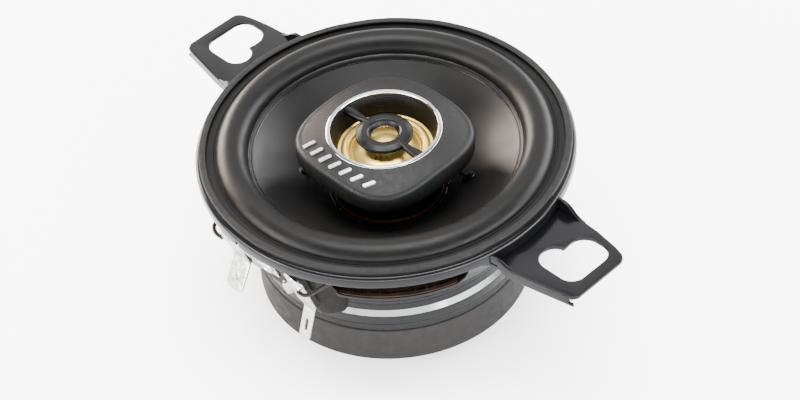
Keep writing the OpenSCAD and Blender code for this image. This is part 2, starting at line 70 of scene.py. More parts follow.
class Shader:
    """A Principled material kept in MAT under its key, with helpers for its patterns, in metres."""

    def __init__(self, key, name, colour, rough, metal=0.0, level=0.5):
        MAT[key] = bpy.data.materials.new(name)
        MAT[key].use_nodes = True
        self.nt = MAT[key].node_tree
        self.bsdf = self.nt.nodes["Principled BSDF"]
        self.bsdf.inputs["Base Color"].default_value = (*colour, 1)
        self.bsdf.inputs["Roughness"].default_value = rough
        self.bsdf.inputs["Metallic"].default_value = metal
        self.bsdf.inputs["Specular IOR Level"].default_value = level
        self.colour = colour
        self.at = self.node("TexCoord").outputs["Object"]
        self.normal = None

    def node(self, kind):
        return self.nt.nodes.new("ShaderNode" + kind)

    def link(self, a, b):
        self.nt.links.new(a, b)

    def math(self, op, a, b=None, c=None, clamp=False):
        n = self.node("Math")
        n.operation, n.use_clamp = op, clamp
        for i, v in enumerate((a, b, c)):
            if isinstance(v, (int, float)):
                n.inputs[i].default_value = v
            elif v is not None:
                self.link(v, n.inputs[i])
        return n.outputs[0]

    def ramp(self, value, low, high, out_low=0.0, out_high=1.0):
        n = self.node("MapRange")
        for i, v in enumerate((low, high, out_low, out_high)):
            n.inputs[i + 1].default_value = v
        self.link(value, n.inputs[0])
        return n.outputs[0]

    def noise(self, size, detail=3.0, rough=0.55, stretch=None):
        n = self.node("TexNoise")
        n.inputs["Scale"].default_value = 1 / size
        n.inputs["Detail"].default_value = detail
        n.inputs["Roughness"].default_value = rough
        at = self.at
        if stretch:
            m = self.node("Mapping")
            m.inputs["Scale"].default_value = stretch
            self.link(self.at, m.inputs["Vector"])
            at = m.outputs[0]
        self.link(at, n.inputs["Vector"])
        return n.outputs["Fac"]

    def cells(self, size):
        n = self.node("TexVoronoi")
        n.inputs["Scale"].default_value = 1 / size
        self.link(self.at, n.inputs["Vector"])
        return n.outputs["Distance"]

    def xyz(self):
        n = self.node("SeparateXYZ")
        self.link(self.at, n.inputs[0])
        return n.outputs

    def radius(self):
        x, y, _ = self.xyz()
        return self.math("SQRT", self.math("ADD", self.math("MULTIPLY", x, x), self.math("MULTIPLY", y, y)))

    def waves(self, value, pitch):
        """A smooth wave from 0 to 1 along value, one per pitch."""
        s = self.math("SINE", self.math("MULTIPLY", value, 2 * math.pi / pitch))
        return self.math("MULTIPLY_ADD", s, 0.5, 0.5)

    def bump(self, height, depth):
        """Height is 0 to 1 over depth, in metres."""
        n = self.node("Bump")
        n.inputs["Strength"].default_value = 1.0
        n.inputs["Distance"].default_value = depth
        self.link(height, n.inputs["Height"])
        if self.normal is not None:
            self.link(self.normal, n.inputs["Normal"])
        self.normal = n.outputs[0]
        self.link(self.normal, self.bsdf.inputs["Normal"])
        return self

    def tint(self, factor, other, amount=1.0):
        """Mixes the colour towards another where factor is 1."""
        n = self.node("Mix")
        n.data_type = "RGBA"
        self.link(self.math("MULTIPLY", factor, amount, clamp=True), n.inputs[0])
        socket = self.bsdf.inputs["Base Color"]
        if socket.is_linked:
            self.link(socket.links[0].from_socket, n.inputs[6])
        else:
            n.inputs[6].default_value = (*self.colour, 1)
        n.inputs[7].default_value = (*other, 1)
        self.link(n.outputs[2], socket)
        return self

    def roughen(self, factor, low, high):
        self.link(self.ramp(factor, 0.3, 0.7, low, high), self.bsdf.inputs["Roughness"])
        return self

    def grain(self, depth, *size):
        """Bumps from noise; size is what noise() takes."""
        return self.bump(self.noise(*size), depth)

    def patches(self, colour, amount, low, high, *size):
        """Another colour where noise rises from low to high."""
        return self.tint(self.ramp(self.noise(*size), low, high), colour, amount)

    def uneven(self, low, high, *size):
        """Roughness that wanders between low and high."""
        return self.roughen(self.noise(*size), low, high)


# ---- materials: a key, a name, a base colour, a roughness and how metallic it is, then its patterns

s = Shader("steel", "black_steel", (0.0018, 0.0018, 0.0021), 0.2, level=0.1)
z = s.xyz()[2]
low = s.math("MULTIPLY", s.ramp(z, 0.0178, 0.0172), s.ramp(z, 0.0148, 0.0151))
s.grain(0.000014, 0.0006, 2).grain(0.000003, 0.00022, 1)
s.bump(s.math("MULTIPLY", s.noise(0.00042, 3, 0.7), low), 0.00009).uneven(0.14, 0.24, 0.009, 4)
s.patches((0.006, 0.006, 0.0065), 0.5, 0.7, 0.76, 0.00045, 1)

# a lighter, more reflective copy of the black steel, used only on the cup's band: a painted highlight
s = Shader("polished", "steel_painted_highlight", (0.0025, 0.0025, 0.0028), 0.1, level=0.5)
s.grain(0.00002, 0.0006, 2).grain(0.000005, 0.00022, 1).uneven(0.07, 0.16, 0.004, 4)
s.patches((0.01, 0.01, 0.011), 0.5, 0.6, 0.7, 0.0008, 3)

s = Shader("gasket", "grey_gasket", (0.00504, 0.00504, 0.005184), 0.74, level=0.086)
s.grain(0.00005, 0.0005, 4, 0.7).bump(s.cells(0.0011), 0.00002)
s.patches((0.00864, 0.0085, 0.00835), 0.7, 0.45, 0.7, 0.0022, 4, 0.7).uneven(0.6, 0.82, 0.003, 3)

s = Shader("rubber", "black_rubber", (0.001728, 0.001656, 0.001584), 0.4, level=0.072)
s.grain(0.000028, 0.0003, 3, 0.6).grain(0.00002, 0.0035, 2)
s.patches((0.00324, 0.00302, 0.00288), 0.4, 0.5, 0.8, 0.006, 5, 0.6).uneven(0.34, 0.44, 0.005, 4)

s = Shader("cone", "dark_cone", (0.0028, 0.0026, 0.0025), 0.42, level=0.13)
s.bump(s.waves(s.radius(), 0.00042), 0.000003).grain(0.000006, 0.0004, 3).grain(0.00005, 0.011, 2)
s.patches((0.00432, 0.0041, 0.00396), 0.5, 0.45, 0.75, 0.012, 4).uneven(0.36, 0.46, 0.007, 4)

s = Shader("cloth", "brown_cloth", (0.009, 0.0038, 0.0016), 0.75, level=0.1)
x, y, _ = s.xyz()
weave = s.math("MAXIMUM", s.waves(x, 0.00032), s.waves(y, 0.00032))
s.bump(weave, 0.00007).grain(0.00004, 0.002, 3)
# the low parts between the threads are tinted darker: painted shade in the weave
s.tint(s.math("SUBTRACT", 1.0, weave), (0.00864, 0.00324, 0.0013), 0.8)
s.patches((0.03, 0.013, 0.005), 0.6, 0.45, 0.75, 0.004, 4).uneven(0.6, 0.85, 0.0016, 3)

s = Shader("former", "amber_former", (0.0864, 0.02376, 0.00432), 0.3, level=0.18)
s.grain(0.00001, 0.0008, 3).patches((0.036, 0.00936, 0.00216), 0.6, 0.5, 0.75, 0.002, 4)
s.uneven(0.22, 0.4, 0.002, 3)

s = Shader("copper", "copper_wire", (0.1872, 0.072, 0.0288), 0.3, 1.0)
s.bump(s.waves(s.xyz()[2], 0.00024), 0.00003).patches((0.0936, 0.0302, 0.0108), 0.7, 0.45, 0.75, 0.0012, 4)
s.uneven(0.24, 0.42, 0.0015, 3)

s = Shader("plated", "plated_steel", (0.144, 0.144, 0.1411), 0.34, 1.0)
s.grain(0.000008, 0.0006, 3, 0.55, (1, 1, 0.25)).patches((0.0864, 0.0835, 0.0778), 0.6, 0.45, 0.75, 0.0025, 4)
s.uneven(0.26, 0.46, 0.0012, 4)

s = Shader("plate", "dark_plate", (0.00324, 0.00324, 0.003168), 0.4, level=0.086)
s.grain(0.00002, 0.0005, 4, 0.65).grain(0.00004, 0.004, 2)
s.patches((0.00648, 0.00634, 0.0059), 0.6, 0.55, 0.72, 0.0013, 5, 0.7).uneven(0.34, 0.56, 0.0016, 4)

s = Shader("ferrite", "ferrite", (0.0072, 0.0067, 0.0064), 0.62, level=0.07)
s.grain(0.000035, 0.00032, 4, 0.7).grain(0.00004, 0.0028, 3)
s.patches((0.0137, 0.0132, 0.0128), 0.5, 0.5, 0.75, 0.0007, 5, 0.7)
s.patches((0.00576, 0.00554, 0.0054), 0.5, 0.5, 0.72, 0.007, 4, 0.6, (1, 1, 3)).uneven(0.5, 0.74, 0.0025, 4)

s = Shader("board", "fibre_board", (0.003, 0.0027, 0.0025), 0.68, level=0.06)
s.grain(0.00004, 0.0007, 4, 0.7, (1, 0.3, 3))
s.patches((0.0075, 0.0068, 0.006), 0.6, 0.45, 0.7, 0.0012, 5, 0.7, (0.5, 1, 2)).uneven(0.55, 0.8, 0.002, 3)

s = Shader("tin", "tinned_brass", (0.3024, 0.3024, 0.2952), 0.24, 1.0)
s.grain(0.000008, 0.0009, 4, 0.6, (1, 1, 0.3)).grain(0.00002, 0.0028, 2)
s.patches((0.216, 0.212, 0.202), 0.6, 0.5, 0.72, 0.0015, 5, 0.65).uneven(0.16, 0.42, 0.0011, 4)

s = Shader("solder", "solder", (0.2592, 0.2628, 0.2664), 0.18, 1.0)
s.grain(0.00003, 0.0006, 3).uneven(0.12, 0.34, 0.0007, 3)

s = Shader("plastic", "black_plastic", (0.0018, 0.0018, 0.0019), 0.46, level=0.11)
s.bump(s.cells(0.00042), 0.000022).grain(0.000012, 0.00028, 3, 0.6)
s.patches((0.0036, 0.0036, 0.00382), 0.5, 0.5, 0.8, 0.0035, 4).uneven(0.44, 0.58, 0.0016, 3)

s = Shader("smooth", "smooth_plastic", (0.0013, 0.0013, 0.0014), 0.26, level=0.09)
s.grain(0.000006, 0.0005, 2).patches((0.00324, 0.00324, 0.00324), 0.5, 0.5, 0.8, 0.002, 4)
s.uneven(0.28, 0.42, 0.0016, 3)

s = Shader("chrome", "bright_chrome", (0.24, 0.24, 0.246), 0.1, 1.0)
s.grain(0.000012, 0.003, 2).uneven(0.06, 0.16, 0.002, 4)

s = Shader("gold", "gold_film", (0.58, 0.4, 0.095), 0.28, 0.9)
s.bump(s.waves(s.radius(), 0.00055), 0.000002).patches((0.72, 0.54, 0.19), 0.4, 0.4, 0.75, 0.006, 2)
s.uneven(0.26, 0.36, 0.004, 2)

s = Shader("silver", "silver_paint", (0.2448, 0.2484, 0.2484), 0.3, 0.75)
s.grain(0.000006, 0.0003, 2).patches((0.18, 0.18, 0.176), 0.5, 0.5, 0.75, 0.0008, 4).uneven(0.22, 0.4, 0.0009, 3)

s = Shader("nickel", "nickel_magnet", (0.216, 0.2124, 0.2052), 0.2, 1.0)
s.grain(0.000008, 0.001, 2).uneven(0.14, 0.3, 0.0014, 3)

s = Shader("yellow", "yellow_film", (0.1152, 0.0648, 0.00864), 0.3, level=0.18)
s.grain(0.00002, 0.0012, 2).patches((0.0864, 0.0432, 0.00504), 0.5, 0.45, 0.7, 0.002, 3)

s = Shader("braid", "lead_braid", (0.008, 0.006, 0.0045), 0.5, 0.3, level=0.14)
s.grain(0.00003, 0.00018, 3).patches((0.00864, 0.00576, 0.0036), 0.7, 0.45, 0.7, 0.0005, 4)
s.uneven(0.38, 0.65, 0.0004, 3)

s = Shader("sleeve", "lead_sleeve", (0.0036, 0.003456, 0.003312), 0.45, level=0.086)
s.grain(0.00001, 0.0004, 3).patches((0.0072, 0.00677, 0.00634), 0.6, 0.5, 0.75, 0.0009, 4)
s.uneven(0.36, 0.56, 0.0007, 3)

s = Shader("glue", "clear_glue", (0.00432, 0.0036, 0.00324), 0.12, level=0.22)
s.grain(0.00008, 0.0007, 4, 0.6).patches((0.0216, 0.018, 0.0144), 0.5, 0.52, 0.7, 0.0013, 4)
s.uneven(0.08, 0.3, 0.001, 3)

s = Shader("blackglue", "black_glue", (0.002016, 0.002016, 0.002016), 0.16, level=0.16)
s.grain(0.0001, 0.0012, 4, 0.6).patches((0.00576, 0.0054, 0.00504), 0.6, 0.6, 0.8, 0.002, 4)
s.uneven(0.1, 0.34, 0.0012, 3)

# ---- mesh helpers


def add_object(name, data):
    ob = bpy.data.objects.new(name, data)
    bpy.context.scene.collection.objects.link(ob)
    return ob


def add_mesh(name, bm, smooth, *materials):
    """An object from a bmesh, with its edges sharp beyond smooth degrees."""
    me = bpy.data.meshes.new(name)
    bm.to_mesh(me)
    bm.free()
    for material in materials:
        me.materials.append(material)
    me.shade_smooth()
    me.set_sharp_from_angle(angle=math.radians(smooth))
    return add_object(name, me)


def weld(bm, gap):
    bmesh.ops.remove_doubles(bm, verts=bm.verts, dist=gap)
    bmesh.ops.recalc_face_normals(bm, faces=bm.faces)


def new_mesh(name, verts, faces, material, smooth):
    me = bpy.data.meshes.new(name)
    me.from_pydata([Vector(v) * MM for v in verts], [], faces)
    bm = bmesh.new()
    bm.from_mesh(me)
    bpy.data.meshes.remove(me)
    weld(bm, 2e-7)
    return add_mesh(name, bm, smooth, MAT[material])


def merge(name, obs, smooth=35):
    """One mesh out of several; each keeps its own material."""
    bm = bmesh.new()
    mats = []
    for ob in obs:
        start = len(bm.faces)
        bm.from_mesh(ob.data)
        bm.faces.ensure_lookup_table()
        mats += [x for x in ob.data.materials if x not in mats]
        for f in bm.faces[start:]:
            f.material_index = mats.index(ob.data.materials[f.material_index])
    for ob in obs:
        bpy.data.objects.remove(ob)
    return add_mesh(name, bm, smooth, *mats)


def scaled(matrix):
    """A placing in millimetres, for a mesh in metres."""
    return Matrix.Scale(MM, 4) @ matrix @ Matrix.Scale(1 / MM, 4)


def polar(r, degrees, cx=0.0, cy=0.0):
    """A point at a radius and an angle round a centre."""
    return cx + r * math.cos(math.radians(degrees)), cy + r * math.sin(math.radians(degrees))


def fillet(points, n=6):
    """A closed outline from corners (x, y) or (x, y, radius): each corner with a radius becomes an arc."""
    out = []
    for i, p in enumerate(points):
        if len(p) < 3 or p[2] <= 0:
            out.append((p[0], p[1]))
            continue
        a, b, c = Vector(points[i - 1][:2]), Vector(p[:2]), Vector(points[(i + 1) % len(points)][:2])
        u, v = (a - b), (c - b)
        lu, lv = u.length, v.length
        u, v = u / lu, v / lv
        half = math.acos(max(-1, min(1, u.dot(v)))) / 2
        if half > math.radians(88.5):
            out.append((p[0], p[1]))
            continue
        cut = min(p[2] / math.tan(half), lu * 0.49, lv * 0.49)
        r = cut * math.tan(half)
        centre = b + (u + v).normalized() * (r / math.sin(half))
        s, e = b + u * cut - centre, b + v * cut - centre
        turn = s.angle_signed(e)
        for k in range(n + 1):
            t = -turn * k / n
            out.append(tuple(centre + Vector((s.x * math.cos(t) - s.y * math.sin(t),
                                              s.x * math.sin(t) + s.y * math.cos(t)))))
    return out


def skin(rows, closed=False, ring=False):
    """The points of rows of equal length, and the faces between them; closed joins each row's ends, and ring joins
    the last row to the first."""
    n, k = len(rows), len(rows[0])
    faces = [(i * k + q, i * k + (q + 1) % k, (i + 1) % n * k + (q + 1) % k, (i + 1) % n * k + q)
             for i in range(n if ring else n - 1) for q in range(k if closed else k - 1)]
    return [v for row in rows for v in row], faces


def grid(name, rows, material, closed=False, ring=False, smooth=40):
    return new_mesh(name, *skin(rows, closed, ring), material, smooth)


def lathe(name, profile, material, steps=240, warp=None, smooth=35, angles=None, closed=True):
    """Turns a closed outline of (radius, height) about Z. warp(angle, r, z) may return a new (r, z)."""
    rows = []
    for a in angles or [360 * i / steps for i in range(steps)]:
        outline = [warp(a, r, z) for r, z in profile] if warp else profile
        rows.append([(*polar(r, a), z) for r, z in outline])
    return grid(name, rows, material, closed, True, smooth)


def disc_lathe(name, profile, material, steps=96, smooth=35):
    """As lathe, for an outline whose first and last points lie on the axis."""
    return lathe(name, profile, material, steps, smooth=smooth, closed=False)


def plate(name, loops, thick, bevel, place, material, smooth=40, res=2):
    """A flat sheet with rounded edges, z = 0 to thick: the first outline is outside, the rest are holes."""
    cu = bpy.data.curves.new(name, "CURVE")
    cu.dimensions, cu.fill_mode = "2D", "BOTH"
    for loop in loops:
        sp = cu.splines.new("POLY")
        sp.points.add(len(loop) - 1)
        for q, p in zip(sp.points, loop):
            q.co = (p[0], p[1], 0, 1)
        sp.use_cyclic_u = True
    cu.extrude = thick / 2 - bevel
    cu.bevel_depth, cu.bevel_resolution, cu.offset = bevel, res, -bevel
    tmp = add_object(name + "_curve", cu)
    bpy.context.view_layer.update()
    me = bpy.data.meshes.new_from_object(tmp.evaluated_get(bpy.context.evaluated_depsgraph_get()))
    bpy.data.objects.remove(tmp)
    bm = bmesh.new()
    bm.from_mesh(me)
    weld(bm, 1e-4)
    bm.transform(Matrix.Scale(MM, 4) @ place @ Matrix.Translation((0, 0, thick / 2)))
    return add_mesh(name, bm, smooth, MAT[material])


def smooth_path(points, per=8):
    """A Catmull-Rom curve through the points."""
    p = [Vector(q) for q in points]
    p = [2 * p[0] - p[1]] + p + [2 * p[-1] - p[-2]]
    out = []
    for i in range(1, len(p) - 2):
        for k in range(per):
            t = k / per
            a, b, c, d = p[i - 1], p[i], p[i + 1], p[i + 2]
            out.append(0.5 * (2 * b + (c - a) * t + (2 * a - 5 * b + 4 * c - d) * t * t
                              + (3 * b - a - 3 * c + d) * t ** 3))
    return out + [p[-2]]


def path_frames(path):
    side = None
    out = []
    for i, p in enumerate(path):
        d = (path[min(i + 1, len(path) - 1)] - path[max(i - 1, 0)]).normalized()
        if side is None:
            side = d.orthogonal().normalized()
        side = (side - d * side.dot(d)).normalized()
        out.append((p, d, side, d.cross(side)))
    return out


def tube(name, path, radius, material, sides=12, offset=None):
    """A round bar along a path; offset(i) may move its middle within the path's cross-section."""
    rows = []
    for i, (p, _, u, v) in enumerate(path_frames(path)):
        ou, ov = offset(i) if offset else (0, 0)
        centre = p + u * ou + v * ov
        rows.append([centre + (u * math.cos(a) + v * math.sin(a)) * radius
                     for a in (2 * math.pi * k / sides for k in range(sides))])
    verts, faces = skin(rows, closed=True)
    last = len(verts) - sides
    faces += [tuple(range(sides - 1, -1, -1)), tuple(last + k for k in range(sides))]
    return new_mesh(name, verts, faces, material, 50)


def put(ob, *nodes, body=FRAME, slot=None):
    """Rides the piece on a body, in place of the CAD nodes named."""
    if nodes:
        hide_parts(*nodes)
    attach(ob, body)


def ring_noise(a, scale, seed, octaves=2):
    """Noise that closes on itself round the circle, from about -1 to 1."""
    return noise.fractal(Vector((*polar(scale, a), seed)), 1.0, 2.0, octaves)


def radial_blend(ob):
    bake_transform(ob)
    co = np.zeros(len(ob.data.vertices) * 3, np.float64)
    ob.data.vertices.foreach_get("co", co)


# ---- basket

RIM_Z = box_mm("gasket_ring")[0][2] - 0.4       # the rim's top, under the surround's foot
RIM_R = 45.5
EAR_Z = 39.5
SHEET = 0.9                                     # the basket's sheet thickness
SEAT_Z = box_mm("top_plate")[1][2]              # the basket's floor lies on the top plate
FLOOR_TOP = SEAT_Z + 0.9
PLATE_R, MAGNET_R = 33.5, 33.8
MAGNET_LOW, MAGNET_TOP = 3.0, 12.9
COIL_IN, COIL_OUT = 13.4, 13.6                  # the former's radii
CONE_IN, CONE_OUT, CONE_LOW = 13.6, 32.8, 28.6
FLARE_LOW, FLARE_TOP = 24.9, 42.35              # heights between which the basket flares


def ease(t):
    t = max(0.0, min(1.0, t))
    return t * t * (3 - 2 * t)


def flare(z):
    """The outside radius of the basket's flare at a height."""
    t = (z - FLARE_LOW) / (FLARE_TOP - FLARE_LOW)
    return 34.95 + 8.25 * t + 0.5 * t * (t - 1)


def make_rim():
    under = RIM_Z - 2.9
    profile = fillet([(41.6, RIM_Z - SHEET, 0.25), (44.6, RIM_Z - SHEET, 0.45), (44.6, under, 0.18),
                      (RIM_R, under, 0.25), (RIM_R, RIM_Z, 1.0), (41.6, RIM_Z, 0.3)], 6)
    notch = (-94.2, -92.8)
    angles = sorted([i * 1.25 for i in range(288)] + [360 + a + step for a in notch for step in (-0.02, 0.02)])

    def warp(a, r, z):
        a = (a + 180) % 360 - 180
        if z < RIM_Z - 1.7:
            if notch[0] <= a <= notch[1]:
                z += 1.3
            side = min(abs(a), abs(180 - abs(a)))
            z -= 1.25 * ease((16.5 - side) / 3.5)       # the lip is deeper beside the ears
        return r + 0.03 * ring_noise(a, 2.2, 5.0), z + 0.03 * ring_noise(a, 1.6, 9.0)

    return lathe("rim", profile, "steel", warp=warp, angles=angles)


def make_cup():
    profile = fillet([(18, SEAT_Z, 0.2), (PLATE_R, SEAT_Z, 0.25), (PLATE_R, SEAT_Z + 2.7, 0.3),
                      (32.65, SEAT_Z + 4.2, 0.6), (32.6, SEAT_Z + 5.6, 1.0), (33.3, SEAT_Z + 7.6, 3),
                      (34.45, 24.6, 0.6), (35.3, 25.0, 0.35), (35.3, 25.9, 0.35), (33.6, 25.9, 0.4),
                      (31.7, 20.4, 6), (31.6, FLOOR_TOP, 2.3), (18, FLOOR_TOP, 0.2)], 8)
    cup = lathe("cup", profile, "steel", warp=lambda a, r, z: (r + 0.02 * ring_noise(a, 3, 2.0), z))
    cup.data.materials.append(MAT["polished"])
    for face in cup.data.polygons:                      # the band above the foot takes a lighter, more reflective copy of the black steel: a painted highlight
        z = face.center.z / MM
        if SEAT_Z + 2.5 < z < SEAT_Z + 4.6 and 0.42 < face.normal.z < 0.6:
            face.material_index = 1
    return cup


def make_spoke(mid, half):
    """One strut of the basket's flare: its sides widen in fillets at both ends of the windows beside it."""
    low, high, corner = 24.6, RIM_Z - SHEET + 0.3, 3.2
    steps, cols = 26, 28
    rows = []
    for i in range(steps + 1):
        z = low + (high - low) * i / steps
        r = flare(z)
        d = min(z - 25.7, RIM_Z - SHEET - z)
        grow = corner - math.sqrt(max(0.0, corner ** 2 - (corner - max(d, 0.0)) ** 2)) if d < corner else 0.0
        wide = half + math.degrees(grow / r)
        arc = [mid - wide + 2 * wide * k / cols for k in range(cols + 1)]
        rows.append([(*polar(r, a), z) for a in arc] + [(*polar(r - 0.98, a), z) for a in reversed(arc)])
    ob = grid("spoke", rows, "steel", closed=True)
    mod = ob.modifiers.new("edge", "BEVEL")
    mod.width, mod.segments, mod.limit_method, mod.angle_limit = 0.28 * MM, 3, "ANGLE", math.radians(50)
    return applied(ob)


def applied(ob):
    """The object's modifiers made part of its mesh."""
    bpy.context.view_layer.update()
    me = bpy.data.meshes.new_from_object(ob.evaluated_get(bpy.context.evaluated_depsgraph_get()))
    ob.modifiers.clear()
    old, ob.data = ob.data, me
    bpy.data.meshes.remove(old)
    return ob


UPRIGHT = Matrix.Rotation(math.radians(90), 4, "X")
TILT = math.radians(17.7)
BOARD_FOOT = Vector((0, -37.9, 25))
ON_BOARD = Matrix.Translation(BOARD_FOOT) @ Matrix.Rotation(TILT, 4, "X")


def make_pad():
    """The flat pad for the terminals, with rounded cheeks that run back into the flare."""
    half, cheek = 14.2, 2.2
    rows = []
    for i in range(31):
        v = -8.2 + 25.4 * i / 30
        foot = ON_BOARD @ Vector((0, 1.25, v))
        z = foot.z
        wall = 32.7 if z < 21 else 32.7 + (z - 21) * 0.55 if z < 25 else flare(z)
        tuck = 2.6 * ease((-5.6 - v) / 2.6)
        row = []
        for k in range(-18, 19):
            x = k / 18 * (half + cheek * 0.35)
            edge = max(0.0, abs(x) - (half - cheek)) / (cheek * 1.35)
            back = 6.5 * (1 - math.sqrt(max(0.0, 1 - min(edge, 1.0) ** 2.2)))
            wall_y = -math.sqrt(max((wall - 0.25) ** 2 - x * x, 0))
            row.append((x, min(foot.y + back + tuck, wall_y + 0.3), z))
        rows.append(row)
    return grid("pad", rows, "board", smooth=60)


EAR_OUTLINE = [(43.2, 13.9), (50.2, 13.85), (55.8, 13.5), (62.1, 12.45, 0.0), (66.0, 11.3, 3.9), (66.05, 5),
               (66.1, -4.6, 0.7), (65.2, -6.05, 0.5), (54, -8.35), (49.6, -9.4), (43.2, -10.6)]


def ear_hole():
    """The screw slot joined to its second lobe, going round counter-clockwise."""
    lobes = ((54.1, 0.6, 3.6, 98, 270, 22), (59.3, 0.6, 3.6, 270, 360, 14), (59.5, 7.5, 3.4, 0, 90, 12),
             (57.5, 6.8, 4.1, 90, 190, 20))
    return [polar(r, a + (b - a) * i / n, cx, cy) for cx, cy, r, a, b, n in lobes for i in range(n + 1)]


def make_ear(side):
    loops = [fillet(EAR_OUTLINE, 10), ear_hole()]
    at = Matrix.Translation((0, 0, EAR_Z - SHEET))
    parts = [plate("ear_plate", loops, SHEET, 0.22, at, "steel", res=3)]
    # the turned-down edge: a wall under the slanted side, which runs on into the rim's lip
    start, point = Vector((42.4, -10.75)), Vector((65.35, -6.2))
    run = (point - start).length
    turn = math.atan2(point.y - start.y, point.x - start.x)
    low = EAR_Z - 2.75
    top = [(0.8, RIM_Z - 1.0), (2.6, RIM_Z - 1.0), (3.6, RIM_Z - 1.15), (4.8, RIM_Z - 1.7), (6.0, RIM_Z - 2.45),
           (7.2, RIM_Z - 2.95), (8.6, EAR_Z - 0.22), (10, EAR_Z - 0.12), (run - 1.6, EAR_Z - 0.12),
           (run - 0.75, EAR_Z - 0.5)]
    bottom = [(run - 0.75, EAR_Z - 2.0), (run + 0.15, EAR_Z - 2.1), (run + 0.3, low - 0.05), (run - 1.2, low),
              (9.5, low), (7.0, low + 0.12), (5.2, low + 0.6), (3.6, RIM_Z - 3.15), (0.8, RIM_Z - 2.95)]
    wall = Matrix.Translation((*start, 0)) @ Matrix.Rotation(turn, 4, "Z") @ UPRIGHT @ Matrix.Translation(
        (0, 0, -SHEET))
    parts.append(plate("ear_flange", [top + bottom], SHEET, 0.3, wall, "steel", res=3))
    # the rounded bend between the plate and its edge
    bend = smooth_path([(start.x + 8.2, start.y + 2.05, EAR_Z - 0.42), (54, -8.05, EAR_Z - 0.42),
                        (64.2, -5.95, EAR_Z - 0.42)], 6)
    parts.append(tube("ear_bend", bend, 0.44, "steel", 12))
    # the upright web at the other side
    web = [(42.2, EAR_Z - 0.5), (42.2, RIM_Z - 0.5), (45.2, RIM_Z - 0.35), (46.4, RIM_Z - 0.55), (47.6, RIM_Z - 1.3),
           (48.8, RIM_Z - 2.3), (50.2, EAR_Z + 0.25), (51.6, EAR_Z - 0.1), (51.6, EAR_Z - 0.5)]
    parts.append(plate("ear_web", [web], SHEET, 0.25, Matrix.Translation((0, 14.0, 0)) @ UPRIGHT, "steel", res=3))
    ear = merge("ear", parts)
    if side < 0:
        ear.data.transform(Matrix.Scale(-1, 4, (1, 0, 0)))
        ear.data.flip_normals()
    return ear


basket = merge("basket", [make_rim(), make_cup(), make_spoke(0, 15), make_spoke(180, 15), make_spoke(90, 23),
                          make_spoke(-90, 23), make_pad(), make_ear(1), make_ear(-1)])
put(basket, "basket", slot="black_steel")

# ---- gasket, surround, cone, spider


def make_gasket():
    z = box_mm("gasket_ring")[0][2]
    profile = fillet([(42.8, z, 0.1), (44.5, z, 0.1), (44.5, z + 0.9, 0.25), (42.8, z + 0.9, 0.3)], 4)

    def warp(a, r, h):
        lift = 0.05 * ring_noise(a, 5, 1.0, 3) if h > z + 0.5 else 0
        return r + 0.05 * ring_noise(a, 6, 3.0, 3), h + lift

    ring = lathe("gasket_ring", profile, "gasket", 360, warp)
    ring.data.materials.append(MAT["rubber"])
    # the steep sides take the black rubber, darker than the grey top: painted shade on the gasket's sides; the grey
    # top is the gasket's own colour
    for face in ring.data.polygons:
        if abs(face.normal.z) < 0.6:
            face.material_index = 1
    return ring


put(make_gasket(), "gasket_ring", slot="grey_gasket")


def cone_height(r):
    t = (r - CONE_IN) / (CONE_OUT - CONE_IN)
    return CONE_LOW + 13.1 * (t + 0.12 * t * (t - 1))


def bow(a, b, rise, inset=0.0, n=40):
    """Points on the circular arc from a to b that stands rise above their chord, moved in by inset."""
    a, b = Vector(a), Vector(b)
    chord = (b - a).length
    r = (chord ** 2 / 4 + rise ** 2) / (2 * rise)
    up = Vector((a.y - b.y, b.x - a.x)) / chord
    centre = (a + b) / 2 + up * (rise - r)
    half, mid = math.asin(chord / 2 / r), math.atan2(up.y, up.x)
    return [(centre.x + (r - inset) * math.cos(mid + half - 2 * half * i / n),
             centre.y + (r - inset) * math.sin(mid + half - 2 * half * i / n)) for i in range(n + 1)]


ROLL_IN, ROLL_OUT, ROLL_RISE = (32.9, 42.1), (40.6, RIM_Z + 0.4), 3.1


def make_surround():
    foot = RIM_Z + 0.4
    top = [(31.9, cone_height(31.9) + 0.32), (32.15, cone_height(32.15) + 0.42), (32.55, 42.05)]
    top += bow(ROLL_IN, ROLL_OUT, ROLL_RISE)
    top += [(40.75, foot - 0.02), (40.95, foot + 0.02), (41.05, foot + 0.16), (41.3, foot + 0.16), (41.4, foot),
            (42.7, foot)]
    outer = [(44.5, foot), (44.5, RIM_Z + 0.02), (40.25, RIM_Z + 0.02)]
    under = bow(ROLL_IN, ROLL_OUT, ROLL_RISE, 0.5, 24)[::-1]
    inner = [(32.75, cone_height(32.75) + 0.03), (31.9, cone_height(31.9) + 0.03)]
    return lathe("surround", top + outer + under + inner, "rubber", 300, smooth=50)


surround = make_surround()
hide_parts("surround")
radial_blend(surround)


def make_cone():
    rs = [COIL_OUT + 0.02 + (CONE_OUT - COIL_OUT - 0.02) * i / 30 for i in range(31)]
    top = [(r, cone_height(r)) for r in rs]
    under = [(r, cone_height(r) - 0.5) for r in reversed(rs)]
    return lathe("cone", top + under, "cone", 300)


put(make_cone(), "cone", body=CONE, slot="dark_cone")


def bead(name, r0, z0, size, material, seed, rough=0.4, steps=420, flat=0.7):
    """A ring of glue whose width and height wander."""
    rows = []
    for i in range(steps):
        a = 360 * i / steps
        k = 1 + rough * ring_noise(a, 26, seed, 3) + 0.5 * rough * ring_noise(a, 5, seed + 3, 2)
        w = size * max(0.35, k)
        rc = r0 + 0.3 * size * ring_noise(a, 9, seed + 7, 3)
        turns = [2 * math.pi * q / 8 for q in range(8)]
        rows.append([(*polar(rc + w * math.cos(b), a), z0(rc) + flat * w * math.sin(b) + 0.72 * w * math.cos(b))
                     for b in turns])
    return grid(name, rows, material, closed=True, ring=True, smooth=70)


